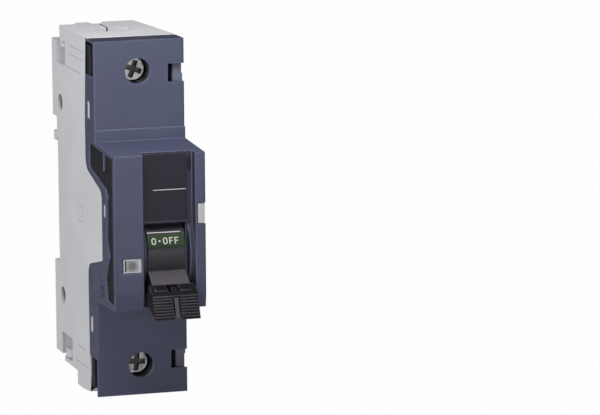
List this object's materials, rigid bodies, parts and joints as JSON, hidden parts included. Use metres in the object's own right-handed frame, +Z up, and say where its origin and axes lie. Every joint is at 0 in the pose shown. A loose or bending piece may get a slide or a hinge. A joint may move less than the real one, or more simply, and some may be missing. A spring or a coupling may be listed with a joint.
{
  "type": "miniature circuit breaker",
  "caption": "Single-pole modular circuit breaker for a 35 mm rail: slate front cover with a ribbed toggle in a channel, pale grey case, screw clamp at each end and a sliding rail clip.",
  "frame": {"origin": "middle of the face that seats on the rail, halfway across the case's width and at the rail's centre line", "axes": "+X right as seen from the front, +Y towards the rail, +Z up to the line terminal; the toggle faces -Y"},
  "size_m": [0.0268, 0.0784, 0.1039],
  "materials": {
    "case_grey": "pale grey moulded thermoplastic with a fine matte texture",
    "cover_slate": "slate blue-grey moulded thermoplastic, satin on its edges",
    "panel_black": "near-black moulded thermoplastic",
    "toggle_dark": "dark brown-black moulded plastic with a satin sheen",
    "band_green": "green moulded inlay",
    "band_red": "red moulded inlay",
    "tab_pale": "off-white moulded plastic",
    "label_slate": "slate blue-grey plate with a thin rim",
    "button_clear": "milky translucent plastic",
    "screw_steel": "zinc-plated steel, bright",
    "cage_steel": "zinc-plated folded steel",
    "frame_steel": "pressed steel plate",
    "spring_steel": "drawn spring wire",
    "copper": "bare copper strip and wire",
    "contact_silver": "silver alloy contact tip",
    "former_white": "heat-resistant moulded former",
    "chute_fibre": "pressed insulating fibre board",
    "chute_steel": "copper-flashed steel arc plate",
    "bimetal_strip": "two-layer thermal strip"
  },
  "bodies": {
    "case": {"left_housing": "case_grey", "right_housing": "case_grey", "housing_rivets": "screw_steel", "front_cover": "cover_slate", "toggle_cheek": "cover_slate", "label_plate": "label_slate", "left_side_panel": "panel_black", "right_side_panel": "panel_black", "coupling_clip": "tab_pale", "test_button_stop": "former_white", "test_button_spring": "spring_steel", "frame_plate_left": "frame_steel", "frame_plate_right": "frame_steel", "toggle_pin": "screw_steel", "contact_arm_pin": "screw_steel", "trip_lever_pin": "screw_steel", "fixed_contact_carrier": "copper", "fixed_contact_tip": "contact_silver", "coil_former": "former_white", "coil_winding": "copper", "coil_yoke": "frame_steel", "fixed_core": "frame_steel", "plunger_spring": "spring_steel", "arc_chute_plates": "chute_steel", "arc_chute_cheek_left": "chute_fibre", "arc_chute_cheek_right": "chute_fibre", "arc_runner": "chute_steel", "bimetal": "bimetal_strip", "calibration_screw": "copper", "line_busbar": "copper", "load_busbar": "copper", "line_terminal_shroud": "panel_black", "load_terminal_shroud": "panel_black", "rail_clip_spring": "spring_steel", "flexible_braid": "copper"},
    "toggle": {"toggle": "toggle_dark", "off_band": "band_green", "on_band": "band_red"},
    "padlock_tab": {"padlock_tab": "toggle_dark"},
    "link": {"drive_link": "spring_steel"},
    "test_button": {"test_button": "button_clear"},
    "contact_arm": {"moving_contact_arm": "copper", "moving_contact_tip": "contact_silver"},
    "trip_lever": {"trip_lever": "former_white"},
    "plunger": {"plunger": "frame_steel"},
    "line_screw": {"line_terminal_screw": "screw_steel"},
    "load_screw": {"load_terminal_screw": "screw_steel"},
    "line_cage": {"line_terminal_cage": "cage_steel"},
    "load_cage": {"load_terminal_cage": "cage_steel"},
    "rail_clip": {"rail_clip": "former_white"}
  },
  "joints": [
    {"name": "toggle_swing", "type": "hinge", "parent": "case", "child": "toggle", "pos_m": [0, -0.051, -0.008], "axis": [-1, 0, 0], "range_deg": [0, 57]},
    {"name": "padlock_tab_slide", "type": "slide", "parent": "toggle", "child": "padlock_tab", "axis": [0, -0.8443, -0.5358], "range_m": [0, 0.007]},
    {"name": "test_button_press", "type": "slide", "parent": "case", "child": "test_button", "axis": [0, 1, 0], "range_m": [0, 0.0012], "stiffness_N_per_m": 400, "springref_m": -0.0006, "deforming": ["test_button_spring"]},
    {"name": "contact_arm_swing", "type": "hinge", "parent": "case", "child": "contact_arm", "pos_m": [0, -0.031, 0.003], "axis": [1, 0, 0], "range_deg": [0, 18], "deforming": ["flexible_braid"]},
    {"name": "link_swing", "type": "hinge", "parent": "toggle", "child": "link", "pos_m": [0, -0.05152, -0.00505], "axis": [1, 0, 0], "range_deg": [0, 61.5]},
    {"name": "trip_lever_swing", "type": "hinge", "parent": "case", "child": "trip_lever", "pos_m": [0, -0.038, -0.022], "axis": [1, 0, 0], "range_deg": [0, 10], "stiffness_Nm_per_rad": 0.004, "springref_deg": -8.59},
    {"name": "plunger_strike", "type": "slide", "parent": "case", "child": "plunger", "axis": [0, 0, -1], "range_m": [0, 0.0025], "stiffness_N_per_m": 300, "springref_m": -0.0004, "deforming": ["plunger_spring"]},
    {"name": "line_screw_turn", "type": "hinge", "parent": "case", "child": "line_screw", "pos_m": [-0.00035, -0.036, 0.0424], "axis": [0, 1, 0], "range_deg": [0, 2160]},
    {"name": "line_cage_clamp", "type": "slide", "parent": "case", "child": "line_cage", "axis": [0, -1, 0], "range_m": [0, 0.006]},
    {"name": "load_screw_turn", "type": "hinge", "parent": "case", "child": "load_screw", "pos_m": [-0.00035, -0.036, -0.043], "axis": [0, 1, 0], "range_deg": [0, 2160]},
    {"name": "load_cage_clamp", "type": "slide", "parent": "case", "child": "load_cage", "axis": [0, -1, 0], "range_m": [0, 0.006]},
    {"name": "rail_clip_pull", "type": "slide", "parent": "case", "child": "rail_clip", "axis": [0, 0, -1], "range_m": [0, 0.004], "stiffness_N_per_m": 900, "springref_m": -0.001, "deforming": ["rail_clip_spring"]}
  ],
  "couplings": [
    {"joint": "contact_arm_swing", "follows": "toggle_swing", "ratio": 0.3157},
    {"joint": "link_swing", "follows": "toggle_swing", "ratio": 1.0779},
    {"joint": "line_screw_turn", "follows": "line_cage_clamp", "rad_per_m": 6283.2},
    {"joint": "load_screw_turn", "follows": "load_cage_clamp", "rad_per_m": 6283.2}
  ]
}
